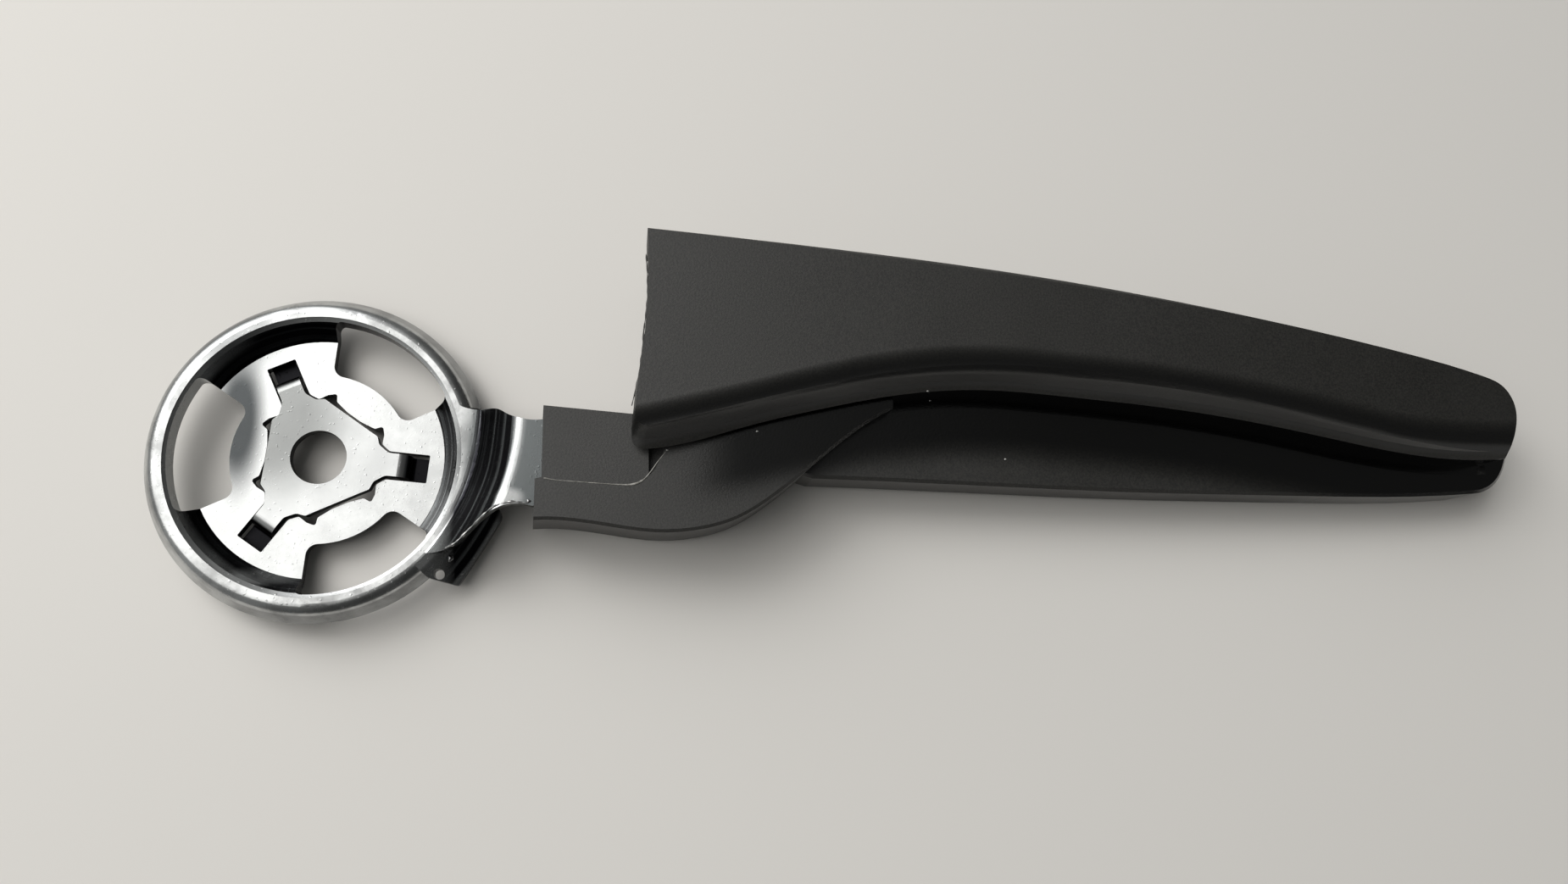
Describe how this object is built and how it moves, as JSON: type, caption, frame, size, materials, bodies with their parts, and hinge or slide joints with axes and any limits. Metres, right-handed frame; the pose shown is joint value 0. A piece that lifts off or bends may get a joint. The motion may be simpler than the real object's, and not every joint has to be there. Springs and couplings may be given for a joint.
{
  "type": "car seat height lever",
  "caption": "Car seat height lever: dished pressed steel hub with a tri-lobed drive plate and bore, joggled arm, and a long ribbed plastic grip.",
  "frame": {"origin": "the centre of the drive plate's bore, on the level of the web's outer face", "axes": "+Z along the bore, towards the side that faces out of the car; +X along the arm to the grip's tip; +Y towards the grip's long upper edge"},
  "size_m": [0.2981, 0.078, 0.0289],
  "materials": {
    "lever_steel": "bright zinc-plated pressed steel, polished by the press tool, with bare sheared edges",
    "drive_steel": "bright zinc-plated pressed steel, slightly satin",
    "grip_plastic": "charcoal moulded plastic with a fine grain"
  },
  "bodies": {
    "root": {"lever_plate": "lever_steel", "drive_plate": "drive_steel", "grip": "grip_plastic"}
  },
  "joints": []
}
